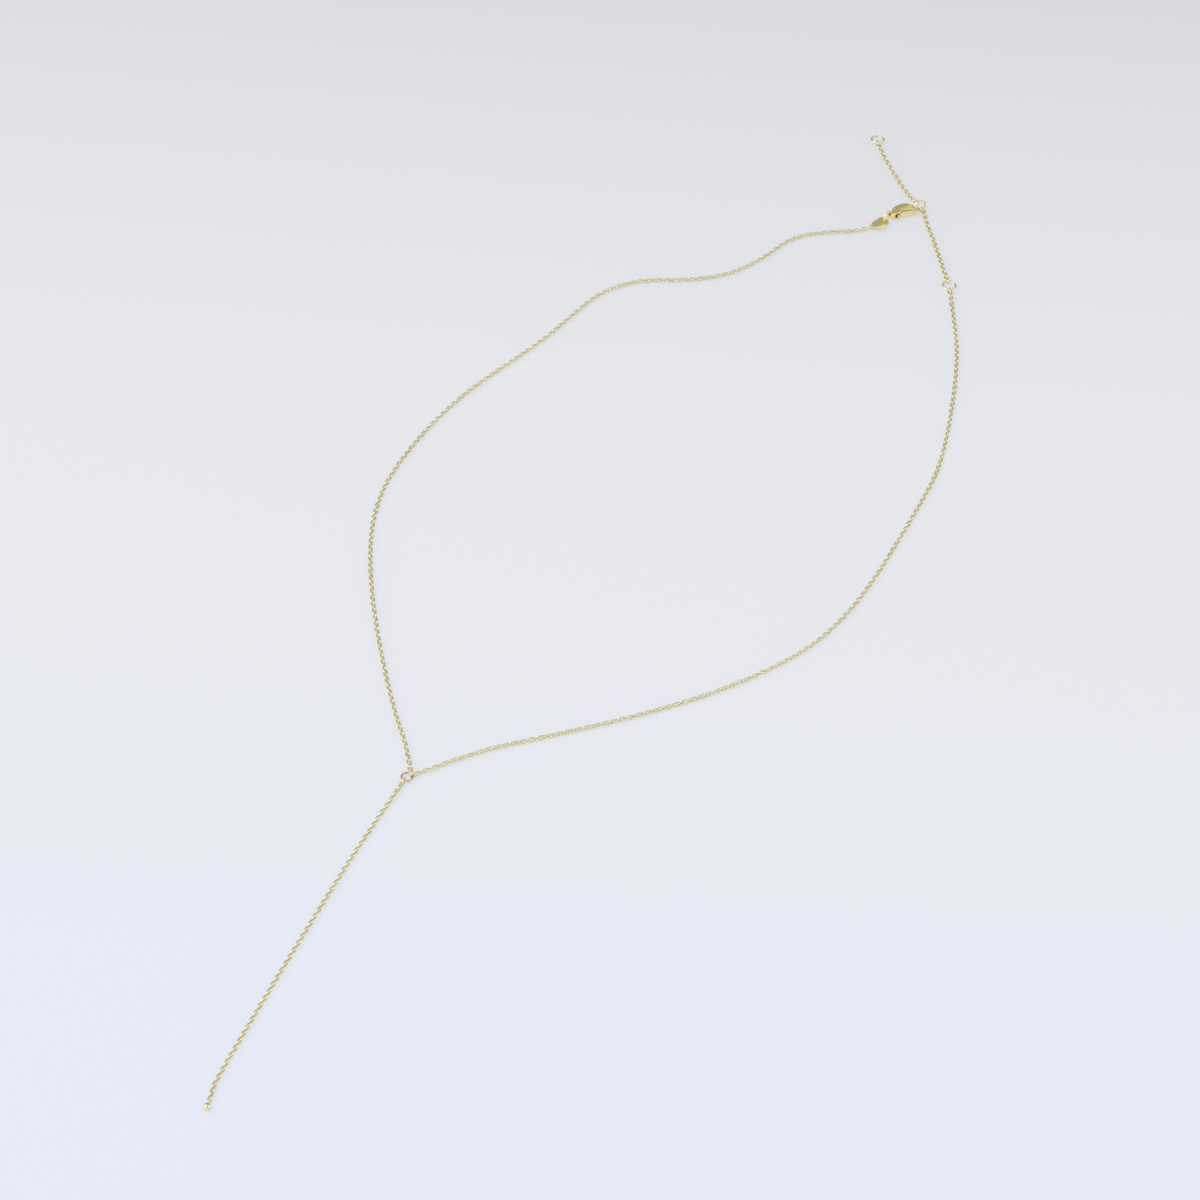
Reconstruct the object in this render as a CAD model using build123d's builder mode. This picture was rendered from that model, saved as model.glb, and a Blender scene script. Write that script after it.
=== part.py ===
# Fine cable-chain Y necklace with a two inch extender, fastened and lying on a level surface.
# Millimetres, +Z up, the surface at z = 0, the origin under the middle of the necklace's box.
# +X points right and +Y away, as the necklace is seen from the tip of its drop.
import os
from math import ceil, cos, pi, radians, sin, tan

from build123d import *

os.makedirs("parts", exist_ok=True)

# Chain links: round wire bent to a flat oval and soldered
link_wire = 0.22
link_inner_width = 0.44
link_inner_length = 0.97
link_pitch = 0.85
lay_roll = 45.0
lay_height = 0.39
twist_links = 8

# End links: slightly larger ovals that hold the rings
end_wire = 0.24
end_inner_width = 0.62
end_inner_length = 0.95
stand_height = 0.55

# Neck chains as tubes round the lying links
chain_diameter = 0.70
chain_height = 0.36
link_overlap = 0.08
link_play = 0.10
bend_share = 0.45
cut_reach = 4.0

# Rings: outside diameter and wire
y_ring_outer = 2.40
y_ring_wire = 0.42
length_ring_outer = 2.95
length_ring_wire = 0.36
jump_ring_outer = 2.60
jump_ring_wire = 0.30

# Where the rings lie, and how far each leans
y_ring_centre = (-35.90, -58.20, stand_height)
inner_ring_centre = (62.00, 86.95, stand_height)
middle_ring_centre = (56.32, 110.65, 1.48)
middle_ring_heading = 33.0
middle_ring_lean = 87.5
lower_angle = radians(-50)
upper_angle = radians(125)
end_ring_centre = (47.90, 133.50, 0.37)
end_ring_heading = 95.0
end_ring_lean = 8.0

# Where each end link sits on its ring, as an angle from +X
left_grip = 71
right_grip = 22
drop_grip = -116
inner_grip_near = -88
inner_grip_far = 106
end_grip = -92

# Drop tip: a ball with a wire loop on it
tip_ball = 1.40
tip_loop_wire = 0.20
tip_loop_inner = 0.50
tip_overlap = 0.05
drop_end_place = (-62.75, -134.05)

# Lobster clasp, along its own X from the eye, with +Y towards its curved back
clasp_eye_place = (50.15, 107.75, 0.0)
clasp_heading = 22.4
clasp_mid_height = 1.00
clasp_half_thickness = 0.95
eye_radius = 0.64
eye_hole_radius = 0.38
eye_half_thickness = 0.30
back_curve = ((0.45, 0.45), (2.90, 1.75), (5.30, 1.42))
nose_curve = ((5.30, 1.42), (6.28, 0.90), (6.65, 0.05))
beak_curve = ((6.65, 0.05), (6.42, -0.50), (5.90, -0.68))
near_line = ((5.90, -0.68), (0.60, -0.68), (0.10, -0.52), (0.10, 0.40), (0.45, 0.45))
hollow_back = ((2.30, 0.16), (3.90, 0.62), (5.30, 0.84))
hollow_nose = ((5.30, 0.84), (6.00, 0.56), (6.22, 0.08))
hollow_beak = ((6.22, 0.08), (6.14, -0.16), (5.90, -0.24))
hollow_mouth = ((5.90, -0.24), (5.20, -0.24), (5.20, -1.20), (2.30, -1.20), (2.30, 0.16))
half_heights = ((-1.0, 0.45), (0.2, 0.50), (1.1, 0.92), (3.6, 0.95), (4.6, 0.80), (5.8, 0.30), (7.0, 0.28))
cheek_slot = ((1.02, -1.60), (2.40, -1.60), (2.40, 0.54), (1.02, 0.54))
slot_half = 0.46

# Lever, its pivot and pin, in the clasp's own X and Y
hinge_place = (1.62, -0.05)
pin_radius = 0.16
pin_half_length = 0.93
pin_fit = 0.03
lever_root_radius = 0.48
lever_root_half = 0.36
lever_neck = ((1.75, -0.66), (2.85, -0.66), (2.85, -0.12), (1.75, -0.12))
thumb_tab = ((1.31, -1.25), (1.93, -1.25), (1.93, -0.35), (1.31, -0.35))
lever_wall = ((2.44, -0.66), (5.08, -0.66), (5.08, -0.24), (2.44, -0.08))
lever_half_heights = ((0.0, 0.36), (2.20, 0.36), (2.60, 0.78), (5.20, 0.58))

# Jump ring in the clasp's eye, and the chain end it holds
jump_ring_heading = 60.0
eye_play = 0.04
chain_end_offset = 0.88
chain_end_height = 0.56
chain_end_heading = 230.0
chain_end_dip = 8.0

# Tag: a bare oval plate on the jump ring, tilted a little about its length
tag_length = 4.00
tag_width = 2.30
tag_thickness = 0.40
tag_bottom = 0.97
tag_hole_radius = 0.34
tag_hole_inset = 0.72
tag_heading = 48.0
tag_tilt = 10.0

# Route of each chain between its end links, chosen by hand: x, y
left_route = [
    (-36.4, -51.0),
    (-38.6, -44.6),
    (-41.0, -35.6),
    (-43.3, -25.5),
    (-45.4, -14.5),
    (-46.8, -3.5),
    (-47.3, 7.0),
    (-45.9, 17.5),
    (-42.0, 28.0),
    (-37.0, 38.0),
    (-31.1, 47.1),
    (-23.9, 55.7),
    (-17.4, 63.6),
    (-12.7, 70.8),
    (-7.5, 78.5),
    (0.5, 83.2),
    (9.5, 83.7),
    (18.0, 86.3),
    (24.6, 92.0),
    (30.5, 99.6),
    (38.1, 101.9),
    (45.4, 103.0),
]
right_route = [
    (-24.6, -51.1),
    (-14.5, -47.1),
    (-4.0, -43.0),
    (6.5, -38.4),
    (17.0, -33.0),
    (27.0, -26.2),
    (35.5, -18.8),
    (42.0, -9.4),
    (46.9, 0.5),
    (50.9, 10.1),
    (54.9, 20.1),
    (59.0, 31.0),
    (61.0, 42.5),
    (62.5, 54.5),
    (63.3, 67.0),
    (62.7, 77.5),
]
drop_route = [
    (-40.0, -67.9),
    (-44.4, -79.1),
    (-48.9, -91.6),
    (-53.4, -104.2),
    (-57.7, -116.7),
    (-60.6, -125.3),
    (-62.3, -130.6),
]
extender_lower_route = [
    (60.4, 94.6),
    (59.0, 101.5),
    (57.8, 106.0),
]
extender_upper_route = [
    (54.1, 115.4),
    (51.8, 120.7),
    (49.8, 125.7),
]


def heading(angle):
    """Level unit vector at an angle from +X."""
    return Vector(cos(radians(angle)), sin(radians(angle)), 0)


def leaning_plane(centre, direction, lean):
    """Plane of a ring: its X is level at the heading, its Y climbs at the lean."""
    level = heading(direction)
    climb = heading(direction + 90) * cos(radians(lean)) + Vector(0, 0, sin(radians(lean)))
    return Plane(centre, x_dir=level, z_dir=level.cross(climb))


def at_height(route, height):
    """The route's points, all at one height."""
    return [Vector(x, y, height) for x, y in route]


def mirrored_profile(half_profile):
    """Closed side profile from its half heights."""
    return list(half_profile) + [(x, -height) for x, height in reversed(half_profile)]


def bend_radii(points):
    """Arc radius at each inner point: the share of its shorter run that the turn allows."""
    radii = []
    for before, corner, after in zip(points, points[1:], points[2:]):
        first_run = corner - before
        second_run = after - corner
        half_turn = radians(first_run.get_angle(second_run)) / 2
        shorter = min(first_run.length, second_run.length)
        radii.append(bend_share * shorter / tan(half_turn))
    return radii


def wire_oval(inner_length, inner_width, wire):
    """An oval link of round wire, long along X and flat in XY."""
    bend = (inner_width + wire) / 2
    half_straight = (inner_length - inner_width) / 2
    with BuildPart() as oval:
        with BuildSketch(Plane.YZ):
            with Locations((bend, 0), (-bend, 0)):
                Circle(wire / 2)
        extrude(amount=half_straight, both=True)
        with BuildSketch(Plane.YZ.offset(half_straight)):
            with Locations((bend, 0)):
                Circle(wire / 2)
        revolve(axis=Axis((half_straight, 0, 0), (0, 0, -1)), revolution_arc=180)
        with BuildSketch(Plane.YZ.offset(-half_straight)):
            with Locations((bend, 0)):
                Circle(wire / 2)
        revolve(axis=Axis((-half_straight, 0, 0), (0, 0, 1)), revolution_arc=180)
    return oval.part


def wire_ring(plane, outer, wire):
    """A round ring of round wire in the plane."""
    with BuildPart(plane) as ring:
        Torus((outer - wire) / 2, wire / 2)
    return ring.part


def grip(ring_plane, outer, wire, towards, target):
    """Plane of the end link that holds a ring's wire on the side named by towards."""
    normal = ring_plane.z_dir
    outward = (towards - normal * towards.dot(normal)).normalized()
    held = ring_plane.origin + outward * (outer - wire) / 2
    along = (Vector(target.X, target.Y, held.Z) - held).normalized()
    wire_run = normal.cross(outward)
    facing = (wire_run - along * wire_run.dot(along)).normalized()
    slack = (end_inner_length - wire / wire_run.dot(facing)) / 2 - link_play
    return Plane(held + along * slack, x_dir=along, z_dir=facing)


def placed(link, plane):
    """A copy of a link in its plane."""
    return link.moved(Location(plane))


def tube_start(plane):
    """Where a neck chain's tube begins, inside the far end of its end link."""
    return plane.origin + plane.x_dir * (end_inner_length / 2 + end_wire - link_overlap)


def roll_of(plane, along):
    """Roll of a link's plane about the chain, 0 when it lies flat."""
    side = Vector(0, 0, 1).cross(along).normalized()
    up = along.cross(side)
    level = side.dot(plane.z_dir)
    return Vector(up.dot(plane.z_dir), level, 0).get_signed_angle(Vector(1, 0, 0), Vector(0, 0, -1))


def folded(angle):
    """The angle within a quarter turn either way, since a link looks the same turned over."""
    return (angle + 90) % 180 - 90


def link_planes(line, first_roll, last_roll):
    """Planes of the links along a line, rolled a quarter turn from one to the next."""
    count = ceil(line.length / link_pitch) + 1
    step = line.length / (count - 1)
    lay = [lay_roll if number % 2 == 0 else -lay_roll for number in range(count)]
    first_twist = folded(first_roll - lay[0])
    last_twist = folded(last_roll - lay[-1]) if last_roll is not None else 0
    planes = []
    for number in range(count):
        along = line.tangent_at(number * step, PositionMode.LENGTH)
        spot = line.position_at(number * step, PositionMode.LENGTH)
        roll = lay[number]
        roll += first_twist * max(0, 1 - number / twist_links)
        roll += last_twist * max(0, 1 - (count - 1 - number) / twist_links)
        side = Vector(0, 0, 1).cross(along).normalized()
        up = along.cross(side)
        facing = up * cos(radians(roll)) + side * sin(radians(roll))
        planes.append(Plane(spot, x_dir=along, z_dir=facing))
    return planes


def neck_tube(points):
    """Round tube along straight runs joined by tangent arcs, and its radii."""
    radii = bend_radii(points)
    with BuildPart() as tube:
        with BuildLine() as line:
            FilletPolyline(*points, radius=radii)
        path = line.wire()
        with BuildSketch(Plane(path @ 0, z_dir=path % 0)):
            Circle(chain_diameter / 2)
        sweep(path=path)
    return tube.part, path.length, radii


def report_route(name, points, radii, length, volume=None):
    """Print a route's length, its smallest radius and how its volume compares."""
    turns = [round(r, 1) for r in radii]
    print(name, "length", round(length, 2), "radii", turns)
    if volume:
        section = pi * chain_diameter**2 / 4
        print(name, "tube volume against section times length", round(volume / (section * length), 4))


# The two kinds of link
chain_link = wire_oval(link_inner_length, link_inner_width, link_wire)
end_link = wire_oval(end_inner_length, end_inner_width, end_wire)

# Rings
y_plane = Plane(y_ring_centre)
inner_plane = Plane(inner_ring_centre)
middle_plane = leaning_plane(middle_ring_centre, middle_ring_heading, middle_ring_lean)
end_plane = leaning_plane(end_ring_centre, end_ring_heading - 90, -end_ring_lean)

with BuildPart() as y_ring:
    add(wire_ring(y_plane, y_ring_outer, y_ring_wire))
with BuildPart() as length_ring_inner:
    add(wire_ring(inner_plane, length_ring_outer, length_ring_wire))
with BuildPart() as length_ring_middle:
    add(wire_ring(middle_plane, length_ring_outer, length_ring_wire))
with BuildPart() as length_ring_end:
    add(wire_ring(end_plane, length_ring_outer, length_ring_wire))

# Clasp frame, and the jump ring that stands in its eye
clasp_plane = Plane(clasp_eye_place, x_dir=heading(clasp_heading), z_dir=(0, 0, 1))
jump_radius = (jump_ring_outer - jump_ring_wire) / 2
jump_height = jump_ring_outer / 2
eye_drop = jump_height - clasp_mid_height
eye_offset = (jump_radius**2 - eye_drop**2) ** 0.5 - eye_play
jump_centre = Vector(*clasp_eye_place) - heading(jump_ring_heading) * eye_offset
jump_plane = Plane(
    (jump_centre.X, jump_centre.Y, jump_height),
    x_dir=heading(jump_ring_heading),
    z_dir=heading(jump_ring_heading - 90),
)
with BuildPart() as clasp_jump_ring:
    add(wire_ring(jump_plane, jump_ring_outer, jump_ring_wire))

# Left neck chain: from the Y ring round to the jump ring
left_start = grip(y_plane, y_ring_outer, y_ring_wire, heading(left_grip), Vector(*left_route[0]))
chain_end_spot = jump_centre - heading(jump_ring_heading) * chain_end_offset
chain_end_along = heading(chain_end_heading) - Vector(0, 0, tan(radians(chain_end_dip)))
left_end = Plane(
    (chain_end_spot.X, chain_end_spot.Y, chain_end_height),
    x_dir=chain_end_along,
    z_dir=chain_end_along.cross(heading(chain_end_heading + 90)),
)
left_points = [tube_start(left_start)] + at_height(left_route, chain_height) + [tube_start(left_end)]
left_tube, left_length, left_radii = neck_tube(left_points)
with BuildPart() as left_chain:
    add(left_tube)
    add(placed(end_link, left_start))
    add(placed(end_link, left_end))

# Right neck chain: from the Y ring to the first length ring
right_start = grip(y_plane, y_ring_outer, y_ring_wire, heading(right_grip), Vector(*right_route[0]))
right_end = grip(
    inner_plane, length_ring_outer, length_ring_wire, heading(inner_grip_near), Vector(*right_route[-1])
)
right_points = [tube_start(right_start)] + at_height(right_route, chain_height) + [tube_start(right_end)]
right_tube, right_length, right_radii = neck_tube(right_points)
with BuildPart() as right_chain:
    add(right_tube)
    add(placed(end_link, right_start))
    add(placed(end_link, right_end))


def linked_chain(points, first, last):
    """Separate interlocked links along a route, with an end link at each gripped end."""
    radii = bend_radii(points)
    with BuildLine() as line:
        FilletPolyline(*points, radius=radii)
    path = line.wire()
    last_roll = roll_of(last, path % 1) if last else None
    planes = link_planes(path, roll_of(first, path % 0), last_roll)
    links = [placed(chain_link, plane) for plane in planes]
    links[0] = placed(end_link, planes[0])
    if last:
        links[-1] = placed(end_link, planes[-1])
    return Compound(links), planes, radii, path.length


# Drop chain: from the Y ring to its ball
drop_start = grip(y_plane, y_ring_outer, y_ring_wire, heading(drop_grip), Vector(*drop_route[0]))
drop_end = Vector(*drop_end_place, lay_height)
drop_points = [drop_start.origin] + at_height(drop_route, lay_height) + [drop_end]
drop_chain, drop_planes, drop_radii, drop_length = linked_chain(drop_points, drop_start, None)

# Drop tip: the ball, with its loop through the last link
last_link = drop_planes[-1]
tip_loop_radius = (tip_loop_inner + tip_loop_wire) / 2
loop_reach = (link_inner_length + tip_loop_inner) / 2 - link_play
tip_along = last_link.x_dir
tip_loop_plane = Plane(
    last_link.origin + tip_along * loop_reach, x_dir=tip_along, z_dir=last_link.z_dir.cross(tip_along)
)
ball_reach = tip_loop_radius + tip_ball / 2 - tip_overlap
ball_centre = tip_loop_plane.origin + tip_along * ball_reach
with BuildPart() as drop_tip:
    add(wire_ring(tip_loop_plane, tip_loop_inner + 2 * tip_loop_wire, tip_loop_wire))
    with Locations((ball_centre.X, ball_centre.Y, tip_ball / 2)):
        Sphere(tip_ball / 2)

# Extender: first length ring to middle ring, middle ring to end ring
lower_target = Vector(*extender_lower_route[0])
lower_start = grip(
    inner_plane, length_ring_outer, length_ring_wire, heading(inner_grip_far), lower_target
)
lower_hold = middle_plane.x_dir * cos(lower_angle) + middle_plane.y_dir * sin(lower_angle)
lower_end = grip(
    middle_plane, length_ring_outer, length_ring_wire, lower_hold, Vector(*extender_lower_route[-1])
)
lower_points = (
    [lower_start.origin] + at_height(extender_lower_route, lay_height) + [lower_end.origin]
)
extender_lower, lower_planes, lower_radii, lower_length = linked_chain(
    lower_points, lower_start, lower_end
)
upper_hold = middle_plane.x_dir * cos(upper_angle) + middle_plane.y_dir * sin(upper_angle)
upper_start = grip(
    middle_plane, length_ring_outer, length_ring_wire, upper_hold, Vector(*extender_upper_route[0])
)
upper_end = grip(
    end_plane, length_ring_outer, length_ring_wire, heading(end_grip), Vector(*extender_upper_route[-1])
)
upper_points = (
    [upper_start.origin] + at_height(extender_upper_route, lay_height) + [upper_end.origin]
)
extender_upper, upper_planes, upper_radii, upper_length = linked_chain(
    upper_points, upper_start, upper_end
)

# Clasp body: outline of back, nose and beak, hollowed, then thinned towards both ends
mid_plane = clasp_plane.offset(clasp_mid_height)
side_plane = Plane(mid_plane.origin, x_dir=mid_plane.x_dir, z_dir=-mid_plane.y_dir)
with BuildPart() as clasp_body:
    with BuildSketch(mid_plane):
        with BuildLine():
            ThreePointArc(*back_curve)
            ThreePointArc(*nose_curve)
            ThreePointArc(*beak_curve)
            Polyline(*near_line)
        make_face()
    extrude(amount=clasp_half_thickness, both=True)
    with BuildSketch(mid_plane):
        with BuildLine():
            ThreePointArc(*hollow_back)
            ThreePointArc(*hollow_nose)
            ThreePointArc(*hollow_beak)
            Polyline(*hollow_mouth)
        make_face()
    extrude(amount=cut_reach, both=True, mode=Mode.SUBTRACT)
    with BuildSketch(side_plane):
        with BuildLine():
            Polyline(*mirrored_profile(half_heights), close=True)
        make_face()
    extrude(amount=cut_reach, both=True, mode=Mode.INTERSECT)
    with BuildSketch(mid_plane):
        Circle(eye_radius)
    extrude(amount=eye_half_thickness, both=True)
    with BuildSketch(mid_plane):
        Circle(eye_hole_radius)
    extrude(amount=cut_reach, both=True, mode=Mode.SUBTRACT)
    with BuildSketch(mid_plane):
        with BuildLine():
            Polyline(*cheek_slot, close=True)
        make_face()
    extrude(amount=slot_half, both=True, mode=Mode.SUBTRACT)
    with BuildSketch(mid_plane):
        with Locations(hinge_place):
            Circle(pin_radius + pin_fit)
    extrude(amount=cut_reach, both=True, mode=Mode.SUBTRACT)

# Lever: flat root on the pin, tall outer wall, thumb tab
with BuildPart() as clasp_lever:
    with BuildSketch(mid_plane):
        with Locations(hinge_place):
            Circle(lever_root_radius)
        with BuildLine():
            Polyline(*lever_neck, close=True)
        make_face()
        with BuildLine():
            Polyline(*thumb_tab, close=True)
        make_face()
    extrude(amount=lever_root_half, both=True)
    with BuildSketch(mid_plane):
        with BuildLine():
            Polyline(*lever_wall, close=True)
        make_face()
    extrude(amount=clasp_half_thickness, both=True)
    with BuildSketch(side_plane):
        with BuildLine():
            Polyline(*mirrored_profile(lever_half_heights), close=True)
        make_face()
    extrude(amount=cut_reach, both=True, mode=Mode.INTERSECT)
    with BuildSketch(mid_plane):
        with Locations(hinge_place):
            Circle(pin_radius + pin_fit)
    extrude(amount=cut_reach, both=True, mode=Mode.SUBTRACT)

# Pin: a plain rivet through both cheeks and the lever's root
with BuildPart() as clasp_pin:
    with BuildSketch(mid_plane):
        with Locations(hinge_place):
            Circle(pin_radius)
    extrude(amount=pin_half_length, both=True)

# Tag: oval plate with its hole on the jump ring
tag_mid = tag_bottom + tag_thickness / 2
tag_hole_offset = (jump_radius**2 - (jump_height - tag_mid) ** 2) ** 0.5
tag_spot = jump_centre - heading(jump_ring_heading) * tag_hole_offset
tag_lean = heading(tag_heading - 90) * tan(radians(tag_tilt)) + Vector(0, 0, 1)
tag_plane = Plane((tag_spot.X, tag_spot.Y, tag_bottom), x_dir=heading(tag_heading + 180), z_dir=tag_lean)
with BuildPart() as tag_plate:
    with BuildSketch(tag_plane):
        with Locations((tag_length / 2 - tag_hole_inset, 0)):
            SlotOverall(tag_length, tag_width)
        Circle(tag_hole_radius, mode=Mode.SUBTRACT)
    extrude(amount=tag_thickness)

drop_chain.label = "drop_chain"
extender_lower.label = "extender_lower"
extender_upper.label = "extender_upper"
for chain in (drop_chain, extender_lower, extender_upper):
    export_step(chain, f"parts/{chain.label}.step")

pieces = {
    "y_ring": y_ring,
    "length_ring_inner": length_ring_inner,
    "length_ring_middle": length_ring_middle,
    "length_ring_end": length_ring_end,
    "left_chain": left_chain,
    "right_chain": right_chain,
    "drop_tip": drop_tip,
    "clasp_body": clasp_body,
    "clasp_lever": clasp_lever,
    "clasp_pin": clasp_pin,
    "clasp_jump_ring": clasp_jump_ring,
    "tag_plate": tag_plate,
}
for name, piece in pieces.items():
    piece.part.label = name
    export_step(piece.part, f"parts/{name}.step")

report_route("left_chain", left_points, left_radii, left_length, left_tube.volume)
report_route("right_chain", right_points, right_radii, right_length, right_tube.volume)
report_route("drop_chain", drop_points, drop_radii, drop_length)
report_route("extender_lower", lower_points, lower_radii, lower_length)
report_route("extender_upper", upper_points, upper_radii, upper_length)
print("links", len(drop_planes), len(lower_planes), len(upper_planes))
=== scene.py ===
# Fine gold Y necklace, fastened and laid out on a pale level surface.
import math

import bpy
from mathutils import Matrix, Vector


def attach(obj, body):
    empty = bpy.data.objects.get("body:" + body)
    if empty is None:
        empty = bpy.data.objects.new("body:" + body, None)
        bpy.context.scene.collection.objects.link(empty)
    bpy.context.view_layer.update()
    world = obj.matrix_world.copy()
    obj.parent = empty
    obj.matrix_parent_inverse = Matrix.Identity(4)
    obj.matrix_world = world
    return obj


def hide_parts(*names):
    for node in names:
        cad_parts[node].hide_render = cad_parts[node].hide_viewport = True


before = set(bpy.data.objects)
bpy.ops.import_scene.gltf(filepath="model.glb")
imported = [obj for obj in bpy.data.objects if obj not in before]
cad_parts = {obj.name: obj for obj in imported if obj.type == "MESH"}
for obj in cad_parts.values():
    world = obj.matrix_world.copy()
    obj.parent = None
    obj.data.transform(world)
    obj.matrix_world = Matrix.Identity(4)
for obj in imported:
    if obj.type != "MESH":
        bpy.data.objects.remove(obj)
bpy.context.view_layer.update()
scene = bpy.context.scene


# The view. A long lens looks down on the necklace from in front of the drop's tip,
# at a steep angle and a little out of level, from over half a metre away.
view_data = bpy.data.cameras.new("long_lens")
view_data.sensor_fit = "HORIZONTAL"
view_data.sensor_width = 36.0
view_data.lens = 132.32
view_data.clip_start = 0.01
long_lens = bpy.data.objects.new("long_lens", view_data)
scene.collection.objects.link(long_lens)
camera_place = (-0.0039, -0.5980, 0.55855)
look_down = 43.506
out_of_level = 3.4147
long_lens.matrix_world = (
    Matrix.Translation(camera_place)
    @ Matrix.Rotation(math.radians(90 - look_down), 4, "X")
    @ Matrix.Rotation(math.radians(out_of_level), 4, "Z")
)
scene.camera = long_lens
scene.view_settings.view_transform = "Standard"


# The surface. A smooth pale board, lit from above, which also glows with a painted light of its own, so
# that shadows on it are faint. Its colour and its glow are painted lighter and bluish near the camera
# and a darker light grey further back, a painted fall of light.
def new_material(name):
    material = bpy.data.materials.new(name)
    material.use_nodes = True
    nodes = material.node_tree.nodes
    nodes.clear()
    shader = nodes.new("ShaderNodeBsdfPrincipled")
    output = nodes.new("ShaderNodeOutputMaterial")
    material.node_tree.links.new(shader.outputs["BSDF"], output.inputs["Surface"])
    return material, material.node_tree, shader


def mixed_colour(tree, factor, first, second):
    mix = tree.nodes.new("ShaderNodeMix")
    mix.data_type = "RGBA"
    mix.inputs[6].default_value = (*first, 1)
    mix.inputs[7].default_value = (*second, 1)
    tree.links.new(factor, mix.inputs[0])
    return mix.outputs[2]


board_paint, board_tree, board_shader = new_material("pale board")
place = board_tree.nodes.new("ShaderNodeTexCoord")
split = board_tree.nodes.new("ShaderNodeSeparateXYZ")
depth = board_tree.nodes.new("ShaderNodeMapRange")
depth.inputs["From Min"].default_value = -0.10
depth.inputs["From Max"].default_value = 0.20
# Painted shade: the board's colour is lighter and bluish near the camera and darker grey further back,
# standing in for the fall of light across it.
painted_falloff = board_tree.nodes.new("ShaderNodeValToRGB")
falloff_tones = painted_falloff.color_ramp.elements
falloff_tones[0].color = (0.787, 0.819, 0.911, 1)
falloff_tones[1].color = (0.680, 0.688, 0.725, 1)
falloff_tones.new(0.17).color = (0.800, 0.812, 0.872, 1)
falloff_tones.new(0.50).color = (0.791, 0.799, 0.839, 1)
falloff_tones.new(0.80).color = (0.735, 0.743, 0.783, 1)
board_tree.links.new(place.outputs["Object"], split.inputs[0])
board_tree.links.new(split.outputs["Y"], depth.inputs["Value"])
board_tree.links.new(depth.outputs[0], painted_falloff.inputs[0])
board_tree.links.new(painted_falloff.outputs["Color"], board_shader.inputs["Base Color"])
board_shader.inputs["Roughness"].default_value = 0.6
board_shader.inputs["Specular IOR Level"].default_value = 0.0
# Painted light: the board glows with its own colour, with no lamp behind it, so the shadows cast on it
# are washed out.
painted_glow = board_tree.nodes.new("ShaderNodeEmission")
board_tree.links.new(painted_falloff.outputs["Color"], painted_glow.inputs["Color"])
painted_glow.inputs["Strength"].default_value = 1.045
lamp_light_and_painted_glow = board_tree.nodes.new("ShaderNodeMixShader")
lamp_light_and_painted_glow.inputs[0].default_value = 0.70
board_tree.links.new(board_shader.outputs["BSDF"], lamp_light_and_painted_glow.inputs[1])
board_tree.links.new(painted_glow.outputs["Emission"], lamp_light_and_painted_glow.inputs[2])
board_output = board_tree.nodes["Material Output"]
board_tree.links.new(lamp_light_and_painted_glow.outputs["Shader"], board_output.inputs["Surface"])
board_mesh = bpy.data.meshes.new("board")
half_board = 2.0
board_sink = 0.00002
board_mesh.from_pydata(
    [(x, y, 0) for x, y in ((-1, -1), (1, -1), (1, 1), (-1, 1))], [], [(0, 1, 2, 3)]
)
board_mesh.transform(Matrix.Scale(half_board, 4))
board_mesh.transform(Matrix.Translation((0, 0, -board_sink)))
board_mesh.materials.append(board_paint)
board = bpy.data.objects.new("board", board_mesh)
scene.collection.objects.link(board)


# The light. A bright white tent all round, dimmer in two soft patches that the metal
# mirrors: the far side, for its level faces, and the side where the camera stands. A
# soft lamp on the left adds sparkle.
room = bpy.data.worlds.new("white tent")
room.use_nodes = True
scene.world = room
tent = room.node_tree
way = tent.nodes.new("ShaderNodeTexCoord")


def dimmer_patch(before, middle, inner, outer, colour):
    """The tent's colour so far, turned to another one within an angle of a direction."""
    near = tent.nodes.new("ShaderNodeVectorMath")
    near.operation = "DOT_PRODUCT"
    near.inputs[1].default_value = Vector(middle).normalized()
    tent.links.new(way.outputs["Generated"], near.inputs[0])
    edge = tent.nodes.new("ShaderNodeMapRange")
    edge.interpolation_type = "SMOOTHSTEP"
    edge.inputs["From Min"].default_value = math.cos(math.radians(outer))
    edge.inputs["From Max"].default_value = math.cos(math.radians(inner))
    tent.links.new(near.outputs["Value"], edge.inputs["Value"])
    mix = tent.nodes.new("ShaderNodeMix")
    mix.data_type = "RGBA"
    mix.inputs[7].default_value = (*colour, 1)
    tent.links.new(edge.outputs[0], mix.inputs[0])
    if before is None:
        mix.inputs[6].default_value = (1.0, 1.0, 1.0, 1)
    else:
        tent.links.new(before, mix.inputs[6])
    return mix.outputs[2]


walls = dimmer_patch(None, (0.0, 0.88, 0.47), 40.0, 64.0, (0.37, 0.37, 0.34))
walls = dimmer_patch(walls, (0.30, -0.75, 0.60), 16.0, 40.0, (0.45, 0.44, 0.40))
tent.links.new(walls, tent.nodes["Background"].inputs["Color"])
tent.nodes["Background"].inputs["Strength"].default_value = 1.12


def soft_light(name, spot, aim, size, power, colour):
    lamp_data = bpy.data.lights.new(name, "AREA")
    lamp_data.shape = "DISK"
    lamp_data.size = size
    lamp_data.energy = power
    lamp_data.color = colour
    lamp = bpy.data.objects.new(name, lamp_data)
    scene.collection.objects.link(lamp)
    lamp.location = spot
    lamp.rotation_euler = (Vector(aim) - Vector(spot)).to_track_quat("-Z", "Y").to_euler()


soft_light("left_lamp", (-1.1, -0.1, 1.3), (0, 0, 0), 1.1, 5.5, (1.0, 1.0, 1.0))


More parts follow.
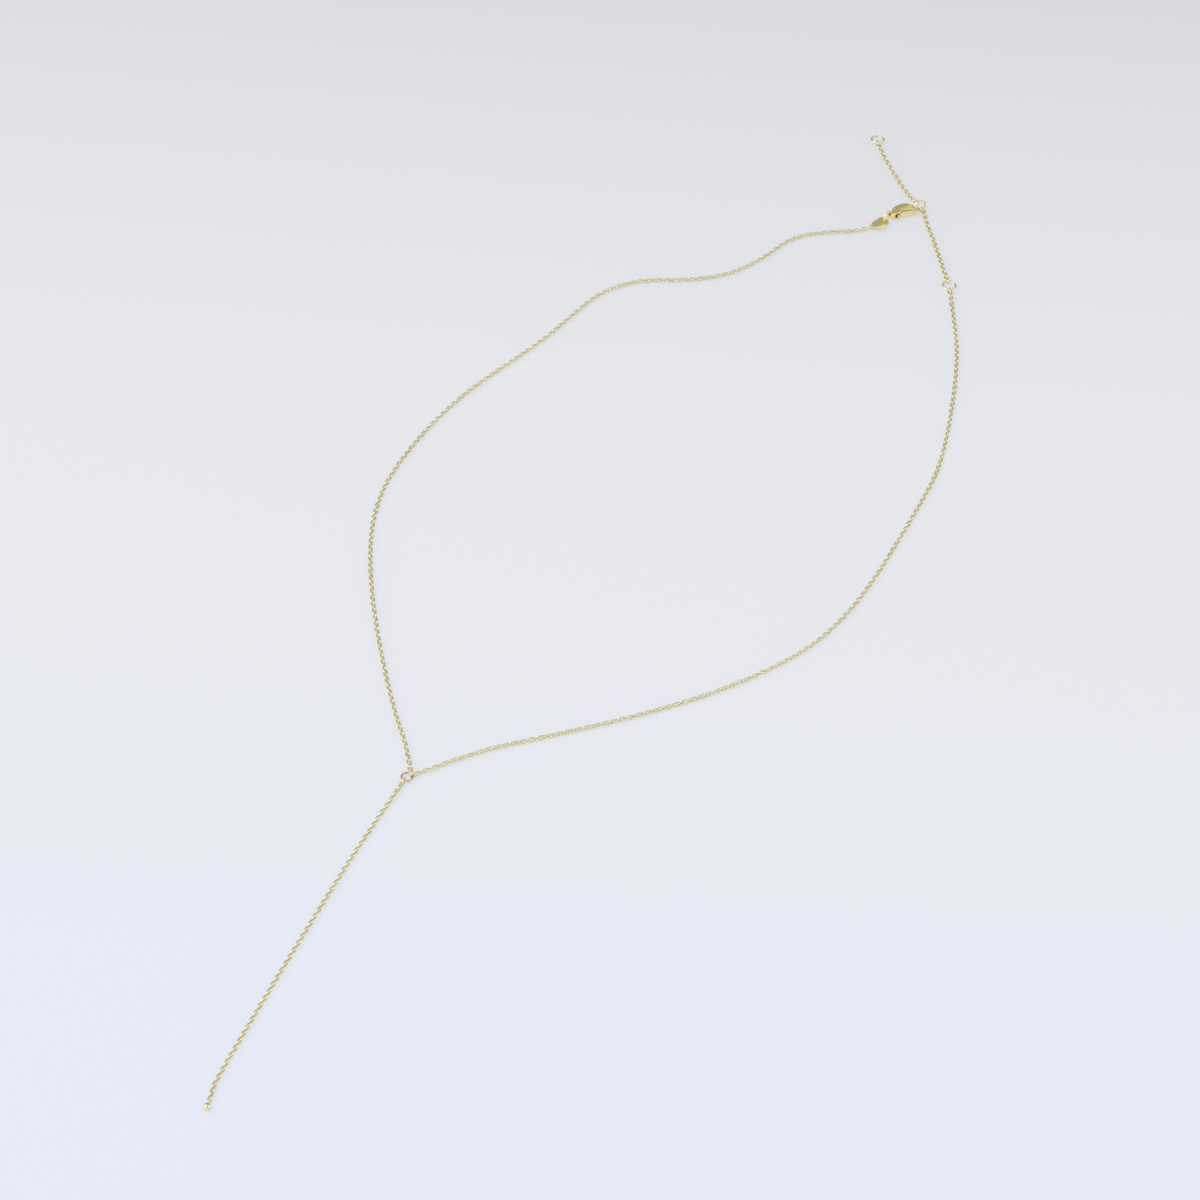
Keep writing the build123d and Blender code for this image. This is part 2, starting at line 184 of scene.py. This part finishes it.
# Polished gold. Fine wire and castings, barrelled bright: a clean mirror with very
# faint drawing marks, and a slightly duller, browner tone where the polish missed.
def polish_group():
    group = bpy.data.node_groups.new("barrel polish", "ShaderNodeTree")
    face = group.interface
    face.new_socket("Bright", in_out="INPUT", socket_type="NodeSocketColor")
    face.new_socket("Dull", in_out="INPUT", socket_type="NodeSocketColor")
    face.new_socket("Mark Size", in_out="INPUT", socket_type="NodeSocketFloat")
    face.new_socket("Smoothest", in_out="INPUT", socket_type="NodeSocketFloat")
    face.new_socket("Roughest", in_out="INPUT", socket_type="NodeSocketFloat")
    face.new_socket("Colour", in_out="OUTPUT", socket_type="NodeSocketColor")
    face.new_socket("Roughness", in_out="OUTPUT", socket_type="NodeSocketFloat")
    face.new_socket("Marks", in_out="OUTPUT", socket_type="NodeSocketFloat")
    nodes, links = group.nodes, group.links
    given = nodes.new("NodeGroupInput")
    result = nodes.new("NodeGroupOutput")
    place = nodes.new("ShaderNodeTexCoord")
    per_size = nodes.new("ShaderNodeMath")
    per_size.operation = "DIVIDE"
    per_size.inputs[0].default_value = 1.0
    links.new(given.outputs["Mark Size"], per_size.inputs[1])
    clouds = nodes.new("ShaderNodeTexNoise")
    clouds.inputs["Detail"].default_value = 3.0
    links.new(place.outputs["Object"], clouds.inputs["Vector"])
    links.new(per_size.outputs[0], clouds.inputs["Scale"])
    tone = nodes.new("ShaderNodeMapRange")
    tone.inputs["From Min"].default_value = 0.35
    tone.inputs["From Max"].default_value = 0.70
    links.new(clouds.outputs["Fac"], tone.inputs["Value"])
    mix = nodes.new("ShaderNodeMix")
    mix.data_type = "RGBA"
    links.new(tone.outputs[0], mix.inputs[0])
    links.new(given.outputs["Bright"], mix.inputs[6])
    links.new(given.outputs["Dull"], mix.inputs[7])
    links.new(mix.outputs[2], result.inputs["Colour"])
    rough = nodes.new("ShaderNodeMapRange")
    links.new(clouds.outputs["Fac"], rough.inputs["Value"])
    links.new(given.outputs["Smoothest"], rough.inputs["To Min"])
    links.new(given.outputs["Roughest"], rough.inputs["To Max"])
    links.new(rough.outputs[0], result.inputs["Roughness"])
    finer = nodes.new("ShaderNodeMath")
    finer.operation = "MULTIPLY"
    finer.inputs[1].default_value = 6.0
    links.new(per_size.outputs[0], finer.inputs[0])
    lines = nodes.new("ShaderNodeTexNoise")
    lines.inputs["Detail"].default_value = 2.0
    links.new(place.outputs["Object"], lines.inputs["Vector"])
    links.new(finer.outputs[0], lines.inputs["Scale"])
    links.new(lines.outputs["Fac"], result.inputs["Marks"])
    return group


barrel_polish = polish_group()


def polished_metal(name, bright, dull, mark_size, smoothest, roughest, mark_depth):
    metal, tree, shader = new_material(name)
    polish = tree.nodes.new("ShaderNodeGroup")
    polish.node_tree = barrel_polish
    polish.inputs["Bright"].default_value = (*bright, 1)
    polish.inputs["Dull"].default_value = (*dull, 1)
    polish.inputs["Mark Size"].default_value = mark_size
    polish.inputs["Smoothest"].default_value = smoothest
    polish.inputs["Roughest"].default_value = roughest
    bump = tree.nodes.new("ShaderNodeBump")
    bump.inputs["Strength"].default_value = 0.4
    bump.inputs["Distance"].default_value = mark_depth
    tree.links.new(polish.outputs["Colour"], shader.inputs["Base Color"])
    tree.links.new(polish.outputs["Roughness"], shader.inputs["Roughness"])
    tree.links.new(polish.outputs["Marks"], bump.inputs["Height"])
    tree.links.new(bump.outputs["Normal"], shader.inputs["Normal"])
    shader.inputs["Metallic"].default_value = 1.0
    return metal


wire_gold = polished_metal(
    "drawn wire gold", (0.92, 0.86, 0.61), (0.83, 0.76, 0.47), 0.0009, 0.08, 0.20, 0.000004
)
cast_gold = polished_metal(
    "cast gold", (0.99, 0.88, 0.50), (0.93, 0.80, 0.40), 0.0012, 0.10, 0.24, 0.000006
)
rose_wire = polished_metal(
    "rose gold wire", (0.82, 0.66, 0.60), (0.70, 0.52, 0.46), 0.0009, 0.12, 0.26, 0.000004
)


def finish_node(name, metal):
    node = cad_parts[name]
    node.data.materials.clear()
    node.data.materials.append(metal)
    return node


# The neck chains. Cable links of 0.27 mm round wire, each soldered shut and turned a
# quarter from the one before, so that they lie on the board on alternate edges; the
# chains twist gently as they go round. A larger soldered link ends each of them.
MM = 0.001
link_pitch = 0.85 * MM
link_inside = (0.95 * MM, 0.45 * MM)
link_wire = 0.27 * MM
end_link_inside = (0.95 * MM, 0.62 * MM)
end_link_wire = 0.24 * MM
lie_on_edge = 45.0
link_wander = 9.0
link_kink = 16.0
kink_swing = 4.0
kink_per_link = 0.055
lean_round_loop = -46.0
lie_height = 0.43 * MM
turn_over = 8


def maths_for(group):
    """A shorthand that adds a maths node to a group and gives its result."""

    def maths(operation, first, second=None):
        node = group.nodes.new("ShaderNodeMath")
        node.operation = operation
        for socket, value in zip(node.inputs, (first, second)):
            if isinstance(value, (int, float)):
                socket.default_value = value
            elif value is not None:
                group.links.new(value, socket)
        return node.outputs[0]

    return maths


def oval_link_group():
    """One oval link of round wire, long along X and flat in XY."""
    group = bpy.data.node_groups.new("oval link", "GeometryNodeTree")
    face = group.interface
    for name in ("Inside Length", "Inside Width", "Wire"):
        face.new_socket(name, in_out="INPUT", socket_type="NodeSocketFloat")
    for name in ("Bend Points", "Wire Sides"):
        face.new_socket(name, in_out="INPUT", socket_type="NodeSocketInt")
    face.new_socket("Link", in_out="OUTPUT", socket_type="NodeSocketGeometry")
    nodes, links = group.nodes, group.links
    maths = maths_for(group)
    given = nodes.new("NodeGroupInput")
    result = nodes.new("NodeGroupOutput")
    width = given.outputs["Inside Width"]
    wire = given.outputs["Wire"]
    bend_radius = maths("MULTIPLY", maths("ADD", width, wire), 0.5)
    half_side = maths("MULTIPLY", maths("SUBTRACT", given.outputs["Inside Length"], width), 0.5)
    bend = nodes.new("GeometryNodeCurvePrimitiveCircle")
    links.new(given.outputs["Bend Points"], bend.inputs["Resolution"])
    links.new(bend_radius, bend.inputs["Radius"])
    spot = nodes.new("GeometryNodeInputPosition")
    parts = nodes.new("ShaderNodeSeparateXYZ")
    links.new(spot.outputs[0], parts.inputs[0])
    shift = nodes.new("ShaderNodeCombineXYZ")
    links.new(maths("MULTIPLY", maths("SIGN", parts.outputs["X"]), half_side), shift.inputs["X"])
    stretch = nodes.new("GeometryNodeSetPosition")
    links.new(bend.outputs["Curve"], stretch.inputs["Geometry"])
    links.new(shift.outputs[0], stretch.inputs["Offset"])
    section = nodes.new("GeometryNodeCurvePrimitiveCircle")
    links.new(given.outputs["Wire Sides"], section.inputs["Resolution"])
    links.new(maths("MULTIPLY", wire, 0.5), section.inputs["Radius"])
    sweep = nodes.new("GeometryNodeCurveToMesh")
    links.new(stretch.outputs["Geometry"], sweep.inputs["Curve"])
    links.new(section.outputs["Curve"], sweep.inputs["Profile Curve"])
    smooth = nodes.new("GeometryNodeSetShadeSmooth")
    links.new(sweep.outputs["Mesh"], smooth.inputs["Geometry"])
    links.new(smooth.outputs["Geometry"], result.inputs["Link"])
    return group


oval_link = oval_link_group()


def chain_group():
    """Links along a line of points, each rolled a quarter turn from its neighbour."""
    group = bpy.data.node_groups.new("cable chain", "GeometryNodeTree")
    group.is_modifier = True
    face = group.interface
    face.new_socket("Line", in_out="INPUT", socket_type="NodeSocketGeometry")
    for name in (
        "Pitch", "Inside Length", "Inside Width", "Wire", "Lie", "First Twist", "Last Twist",
        "Turn Over", "Wander", "Kink", "Lean",
    ):
        face.new_socket(name, in_out="INPUT", socket_type="NodeSocketFloat")
    for name in ("Bend Points", "Wire Sides", "Seed"):
        face.new_socket(name, in_out="INPUT", socket_type="NodeSocketInt")
    face.new_socket("Metal", in_out="INPUT", socket_type="NodeSocketMaterial")
    face.new_socket("Chain", in_out="OUTPUT", socket_type="NodeSocketGeometry")
    nodes, links = group.nodes, group.links
    maths = maths_for(group)
    given = nodes.new("NodeGroupInput")
    result = nodes.new("NodeGroupOutput")

    def vectors(operation, first, second=None, scale=None):
        node = nodes.new("ShaderNodeVectorMath")
        node.operation = operation
        for socket, value in zip(node.inputs, (first, second)):
            if isinstance(value, tuple):
                socket.default_value = value
            elif value is not None:
                links.new(value, socket)
        if scale is not None:
            links.new(scale, node.inputs["Scale"])
        return node.outputs[0]

    line = nodes.new("GeometryNodeMeshToCurve")
    links.new(given.outputs["Line"], line.inputs["Mesh"])
    length = nodes.new("GeometryNodeCurveLength")
    links.new(line.outputs["Curve"], length.inputs["Curve"])
    steps = maths("CEIL", maths("DIVIDE", length.outputs["Length"], given.outputs["Pitch"]))
    spaced = nodes.new("GeometryNodeResampleCurve")
    links.new(line.outputs["Curve"], spaced.inputs["Curve"])
    links.new(maths("ADD", steps, 1), spaced.inputs["Count"])

    number = nodes.new("GeometryNodeInputIndex").outputs[0]
    odd = maths("MODULO", number, 2)
    side_of_lie = maths("SUBTRACT", 1, maths("MULTIPLY", odd, 2))
    lie = maths("MULTIPLY", side_of_lie, given.outputs["Lie"])
    near_first = maths(
        "MAXIMUM", maths("SUBTRACT", 1, maths("DIVIDE", number, given.outputs["Turn Over"])), 0
    )
    from_last = maths("SUBTRACT", steps, number)
    near_last = maths(
        "MAXIMUM", maths("SUBTRACT", 1, maths("DIVIDE", from_last, given.outputs["Turn Over"])), 0
    )
    twist = maths(
        "ADD",
        maths("MULTIPLY", given.outputs["First Twist"], near_first),
        maths("MULTIPLY", given.outputs["Last Twist"], near_last),
    )
    chance = nodes.new("FunctionNodeRandomValue")
    chance.data_type = "FLOAT"
    chance.inputs[2].default_value = -1.0
    chance.inputs[3].default_value = 1.0
    links.new(given.outputs["Seed"], chance.inputs["Seed"])
    wander = maths("MULTIPLY", chance.outputs[1], given.outputs["Wander"])
    away_from_ends = maths("SUBTRACT", maths("SUBTRACT", 1, near_first), near_last)
    drift = nodes.new("ShaderNodeTexNoise")
    drift.noise_dimensions = "1D"
    drift.inputs["Scale"].default_value = 1.0
    drift.inputs["Detail"].default_value = 1.0
    links.new(
        maths("ADD", maths("MULTIPLY", number, kink_per_link), given.outputs["Seed"]), drift.inputs["W"]
    )
    swing = maths("MULTIPLY", maths("SUBTRACT", drift.outputs["Fac"], 0.5), kink_swing)
    along = nodes.new("GeometryNodeInputTangent").outputs[0]
    heading = nodes.new("ShaderNodeSeparateXYZ")
    links.new(along, heading.inputs[0])
    lean = maths("MULTIPLY", heading.outputs["X"], given.outputs["Lean"])
    kink = maths(
        "MULTIPLY",
        maths("ADD", maths("MULTIPLY", swing, given.outputs["Kink"]), lean),
        away_from_ends,
    )
    roll = maths("ADD", maths("ADD", lie, twist), maths("ADD", wander, kink))

    side = vectors("NORMALIZE", vectors("CROSS_PRODUCT", (0, 0, 1), along))
    up = vectors("CROSS_PRODUCT", along, side)
    facing = vectors(
        "ADD",
        vectors("SCALE", up, scale=maths("COSINE", roll)),
        vectors("SCALE", side, scale=maths("SINE", roll)),
    )
    turned = nodes.new("FunctionNodeAxesToRotation")
    turned.primary_axis = "X"
    turned.secondary_axis = "Z"
    links.new(along, turned.inputs["Primary Axis"])
    links.new(facing, turned.inputs["Secondary Axis"])

    between = nodes.new("FunctionNodeBooleanMath")
    between.operation = "AND"
    after_first = nodes.new("FunctionNodeCompare")
    after_first.data_type = "FLOAT"
    after_first.operation = "GREATER_THAN"
    links.new(number, after_first.inputs["A"])
    after_first.inputs["B"].default_value = 0.5
    before_last = nodes.new("FunctionNodeCompare")
    before_last.data_type = "FLOAT"
    before_last.operation = "GREATER_THAN"
    links.new(from_last, before_last.inputs["A"])
    before_last.inputs["B"].default_value = 0.5
    links.new(after_first.outputs[0], between.inputs[0])
    links.new(before_last.outputs[0], between.inputs[1])

    link = nodes.new("GeometryNodeGroup")
    link.node_tree = oval_link
    for name in ("Inside Length", "Inside Width", "Wire", "Bend Points", "Wire Sides"):
        links.new(given.outputs[name], link.inputs[name])
    copies = nodes.new("GeometryNodeInstanceOnPoints")
    links.new(between.outputs[0], copies.inputs["Selection"])
    links.new(link.outputs["Link"], copies.inputs["Instance"])
    links.new(turned.outputs[0], copies.inputs["Rotation"])
    bend_radius = maths(
        "MULTIPLY", maths("ADD", given.outputs["Inside Width"], given.outputs["Wire"]), 0.5
    )
    steepest = maths(
        "MAXIMUM", maths("ABSOLUTE", maths("SINE", roll)), maths("ABSOLUTE", maths("COSINE", roll))
    )
    level = math.sin(math.radians(lie_on_edge + link_wander))
    lift = maths("MULTIPLY", maths("MAXIMUM", maths("SUBTRACT", steepest, level), 0), bend_radius)
    rise = nodes.new("ShaderNodeCombineXYZ")
    links.new(lift, rise.inputs["Z"])
    raised = nodes.new("GeometryNodeSetPosition")
    links.new(spaced.outputs["Curve"], raised.inputs["Geometry"])
    links.new(rise.outputs[0], raised.inputs["Offset"])
    links.new(raised.outputs["Geometry"], copies.inputs["Points"])
    solid = nodes.new("GeometryNodeRealizeInstances")
    links.new(copies.outputs["Instances"], solid.inputs["Geometry"])
    metal = nodes.new("GeometryNodeSetMaterial")
    links.new(solid.outputs["Geometry"], metal.inputs["Geometry"])
    links.new(given.outputs["Metal"], metal.inputs["Material"])
    links.new(metal.outputs["Geometry"], result.inputs["Chain"])
    return group


cable_chain = chain_group()


def end_link_group():
    """One soldered end link at a place, with its length and its flat side turned as given."""
    group = bpy.data.node_groups.new("end link", "GeometryNodeTree")
    group.is_modifier = True
    face = group.interface
    face.new_socket("Before", in_out="INPUT", socket_type="NodeSocketGeometry")
    for name in ("Inside Length", "Inside Width", "Wire"):
        face.new_socket(name, in_out="INPUT", socket_type="NodeSocketFloat")
    for name in ("Bend Points", "Wire Sides"):
        face.new_socket(name, in_out="INPUT", socket_type="NodeSocketInt")
    for name in ("Place", "Along", "Facing"):
        face.new_socket(name, in_out="INPUT", socket_type="NodeSocketVector")
    face.new_socket("Metal", in_out="INPUT", socket_type="NodeSocketMaterial")
    face.new_socket("Chain", in_out="OUTPUT", socket_type="NodeSocketGeometry")
    nodes, links = group.nodes, group.links
    given = nodes.new("NodeGroupInput")
    result = nodes.new("NodeGroupOutput")
    link = nodes.new("GeometryNodeGroup")
    link.node_tree = oval_link
    for name in ("Inside Length", "Inside Width", "Wire", "Bend Points", "Wire Sides"):
        links.new(given.outputs[name], link.inputs[name])
    turned = nodes.new("FunctionNodeAxesToRotation")
    turned.primary_axis = "X"
    turned.secondary_axis = "Z"
    links.new(given.outputs["Along"], turned.inputs["Primary Axis"])
    links.new(given.outputs["Facing"], turned.inputs["Secondary Axis"])
    put = nodes.new("GeometryNodeTransform")
    links.new(link.outputs["Link"], put.inputs["Geometry"])
    links.new(given.outputs["Place"], put.inputs["Translation"])
    links.new(turned.outputs[0], put.inputs["Rotation"])
    metal = nodes.new("GeometryNodeSetMaterial")
    links.new(put.outputs["Geometry"], metal.inputs["Geometry"])
    links.new(given.outputs["Metal"], metal.inputs["Material"])
    both = nodes.new("GeometryNodeJoinGeometry")
    links.new(given.outputs["Before"], both.inputs[0])
    links.new(metal.outputs["Geometry"], both.inputs[0])
    links.new(both.outputs[0], result.inputs["Chain"])
    return group


end_link = end_link_group()


def set_input(modifier, name, value):
    for item in modifier.node_group.interface.items_tree:
        if item.item_type == "SOCKET" and item.in_out == "INPUT" and item.name == name:
            modifier[item.identifier] = value


def with_tree(mesh, name, group, values):
    """The plain mesh that a node tree makes of a mesh."""
    carrier = bpy.data.objects.new(name, mesh)
    scene.collection.objects.link(carrier)
    modifier = carrier.modifiers.new(name, "NODES")
    modifier.node_group = group
    for input_name, value in values.items():
        set_input(modifier, input_name, value)
    bpy.context.view_layer.update()
    graph = bpy.context.evaluated_depsgraph_get()
    made = bpy.data.meshes.new_from_object(carrier.evaluated_get(graph))
    carrier.modifiers.clear()
    bpy.data.objects.remove(carrier)
    return made


def smooth_line(name, points):
    """The points that a smooth spline through a route gives, as a mesh of edges."""
    curve = bpy.data.curves.new(name, "CURVE")
    curve.dimensions = "3D"
    curve.resolution_u = 24
    spline = curve.splines.new("NURBS")
    spline.points.add(len(points) - 1)
    for point, place in zip(spline.points, points):
        point.co = (*place, 1)
    spline.order_u = 3
    spline.use_endpoint_u = True
    carrier = bpy.data.objects.new(name, curve)
    scene.collection.objects.link(carrier)
    bpy.context.view_layer.update()
    graph = bpy.context.evaluated_depsgraph_get()
    line = bpy.data.meshes.new_from_object(carrier.evaluated_get(graph))
    bpy.data.objects.remove(carrier)
    return line


def roll_at(facing, along):
    """Roll of a link that faces this way about a chain that runs this way."""
    side = Vector((0, 0, 1)).cross(along).normalized()
    up = along.cross(side)
    return math.atan2(facing.dot(side), facing.dot(up))


def quarter_fold(angle):
    return (angle + math.pi / 2) % math.pi - math.pi / 2


def neck_chain(name, first, route, last, seed):
    """A chain between two end links, each given as place, along and facing."""
    points = [Vector(first[0])] + [Vector((x * MM, y * MM, lie_height)) for x, y in route]
    points.append(Vector(last[0]))
    line = smooth_line(name + " line", points)
    ordered = [vertex.co.copy() for vertex in line.vertices]
    length = sum((b - a).length for a, b in zip(ordered, ordered[1:]))
    steps = math.ceil(length / link_pitch)
    lie = math.radians(lie_on_edge)
    lie_last = lie if steps % 2 == 0 else -lie
    start_roll = roll_at(Vector(first[2]), (ordered[1] - ordered[0]).normalized())
    end_roll = roll_at(Vector(last[2]), (ordered[-1] - ordered[-2]).normalized())
    links = with_tree(line, name, cable_chain, {
        "Pitch": link_pitch,
        "Inside Length": link_inside[0],
        "Inside Width": link_inside[1],
        "Wire": link_wire,
        "Lie": lie,
        "First Twist": quarter_fold(start_roll - lie),
        "Last Twist": quarter_fold(end_roll - lie_last),
        "Turn Over": float(turn_over),
        "Wander": math.radians(link_wander),
        "Kink": math.radians(link_kink),
        "Lean": math.radians(lean_round_loop),
        "Bend Points": 14,
        "Wire Sides": 6,
        "Seed": seed,
        "Metal": wire_gold,
    })
    for place, along, facing in (first, last):
        links = with_tree(links, name, end_link, {
            "Inside Length": end_link_inside[0],
            "Inside Width": end_link_inside[1],
            "Wire": end_link_wire,
            "Bend Points": 20,
            "Wire Sides": 10,
            "Place": place,
            "Along": along,
            "Facing": facing,
            "Metal": wire_gold,
        })
    chain = bpy.data.objects.new(name, links)
    scene.collection.objects.link(chain)
    return chain


left_route = [
    (-36.4, -51.0), (-38.6, -44.6), (-41.0, -35.6), (-43.3, -25.5), (-45.4, -14.5),
    (-46.8, -3.5), (-47.3, 7.0), (-45.9, 17.5), (-42.0, 28.0), (-37.0, 38.0),
    (-31.1, 47.1), (-23.9, 55.7), (-17.4, 63.6), (-12.7, 70.8), (-7.5, 78.5),
    (0.5, 83.2), (9.5, 83.7), (18.0, 86.3), (24.6, 92.0), (30.5, 99.6),
    (38.1, 101.9), (45.4, 103.0),
]
left_links = neck_chain(
    "left_links",
    ((-0.035350, -0.057230, 0.00055), (-0.1302, 0.9915, 0.0), (-0.9915, -0.1302, 0.0)),
    left_route,
    ((0.049175, 0.106061, 0.00056), (-0.6365, -0.7586, -0.1392), (-0.0895, -0.1066, 0.9903)),
    seed=11,
)
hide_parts("left_chain")
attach(left_links, "necklace")

right_route = [
    (-24.6, -51.1), (-14.5, -47.1), (-4.0, -43.0), (6.5, -38.4), (17.0, -33.0),
    (27.0, -26.2), (35.5, -18.8), (42.0, -9.4), (46.9, 0.5), (50.9, 10.1),
    (54.9, 20.1), (59.0, 31.0), (61.0, 42.5), (62.5, 54.5), (63.3, 67.0), (62.7, 77.5),
]
right_links = neck_chain(
    "right_links",
    ((-0.034847, -0.057742, 0.00055), (0.8392, 0.5439, 0.0), (-0.5439, 0.8392, 0.0)),
    right_route,
    ((0.062061, 0.085462, 0.00055), (0.08, -0.9968, 0.0), (0.9968, 0.08, 0.0)),
    seed=23,
)
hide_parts("right_chain")
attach(right_links, "necklace")


# The drop's ball tip and the clasp's pin keep their CAD form.
for name in ("drop_tip", "clasp_pin"):
    finish_node(name, wire_gold)


def merged_copy(name, node):
    """A copy of a CAD node in millimetres, to be worked on and to replace the node."""
    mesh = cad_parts[node].data.copy()
    mesh.materials.clear()
    mesh.transform(Matrix.Scale(1 / MM, 4))
    copy = bpy.data.objects.new(name, mesh)
    scene.collection.objects.link(copy)
    merge = copy.modifiers.new("merge", "WELD")
    merge.merge_threshold = 0.001
    return copy


def plain_piece(piece, node, body, metal, reshape=None):
    """The copy's modifiers made real, back in metres, in the node's place."""
    bpy.context.view_layer.update()
    graph = bpy.context.evaluated_depsgraph_get()
    mesh = bpy.data.meshes.new_from_object(piece.evaluated_get(graph))
    piece.modifiers.clear()
    piece.data = mesh
    if reshape:
        reshape(mesh)
    mesh.transform(Matrix.Scale(MM, 4))
    mesh.polygons.foreach_set("use_smooth", [True] * len(mesh.polygons))
    mesh.materials.clear()
    mesh.materials.append(metal)
    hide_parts(node)
    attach(piece, body)


# The drop, the extender and the rings. Soldered cable links and rings of round wire, a few
# hundredths of a millimetre fuller than their solids, as the photo shows them. The ring
# at the point of the Y is rose gold.
def fuller_wire(name, node, metal, extra, kept):
    wire = merged_copy(name, node)
    fewer = wire.modifiers.new("fewer", "DECIMATE")
    fewer.ratio = kept
    fuller = wire.modifiers.new("full", "DISPLACE")
    fuller.strength = extra
    fuller.mid_level = 0.0
    plain_piece(wire, node, "necklace", metal)


fuller_wire("drop_links", "drop_chain", wire_gold, 0.025, 0.25)
for half in ("extender_lower", "extender_upper"):
    fuller_wire(half + "_links", half, wire_gold, 0.04, 0.3)
for ring in ("length_ring_inner", "length_ring_middle", "length_ring_end"):
    fuller_wire(ring + "_wire", ring, wire_gold, 0.03, 0.8)
fuller_wire("y_ring_wire", "y_ring", rose_wire, 0.01, 0.8)
fuller_wire("jump_ring_wire", "clasp_jump_ring", cast_gold, 0.05, 0.8)


# The clasp and the tag. Lost wax castings with soft edges, tumbled bright; the bare tag is a shallow
# cushion.
def softened_casting(name, node, body, grain, passes, reshape=None):
    casting = merged_copy(name, node)
    remesh = casting.modifiers.new("grain", "REMESH")
    remesh.mode = "VOXEL"
    remesh.voxel_size = grain
    soften = casting.modifiers.new("soften", "SMOOTH")
    soften.factor = 0.5
    soften.iterations = passes
    plain_piece(casting, node, body, cast_gold, reshape)


def cushion(mesh):
    """Lowers the tilted tag's top towards its rim."""
    heading = math.radians(48)
    tilt = math.radians(10)
    half_length, half_width = 2.0, 1.15
    rim_drop, crown = 0.24, 0.04
    along = Vector((math.cos(heading), math.sin(heading), 0))
    lean = Vector((along.y, -along.x, 0)) * math.tan(tilt)
    facing = (lean + Vector((0, 0, 1))).normalized()
    across = facing.cross(along)
    places = [vertex.co for vertex in mesh.vertices]
    middle = sum(places, Vector()) / len(places)
    for place in places:
        offset = place - middle
        if offset.dot(facing) > 0:
            u, v = offset.dot(along) / half_length, offset.dot(across) / half_width
            place -= facing * (rim_drop * min(u * u + v * v, 1.0) - crown)


softened_casting("clasp_casting", "clasp_body", "necklace", 0.040, 14)
softened_casting("lever_casting", "clasp_lever", "lever", 0.030, 3)
softened_casting("tag_casting", "tag_plate", "necklace", 0.040, 10, cushion)
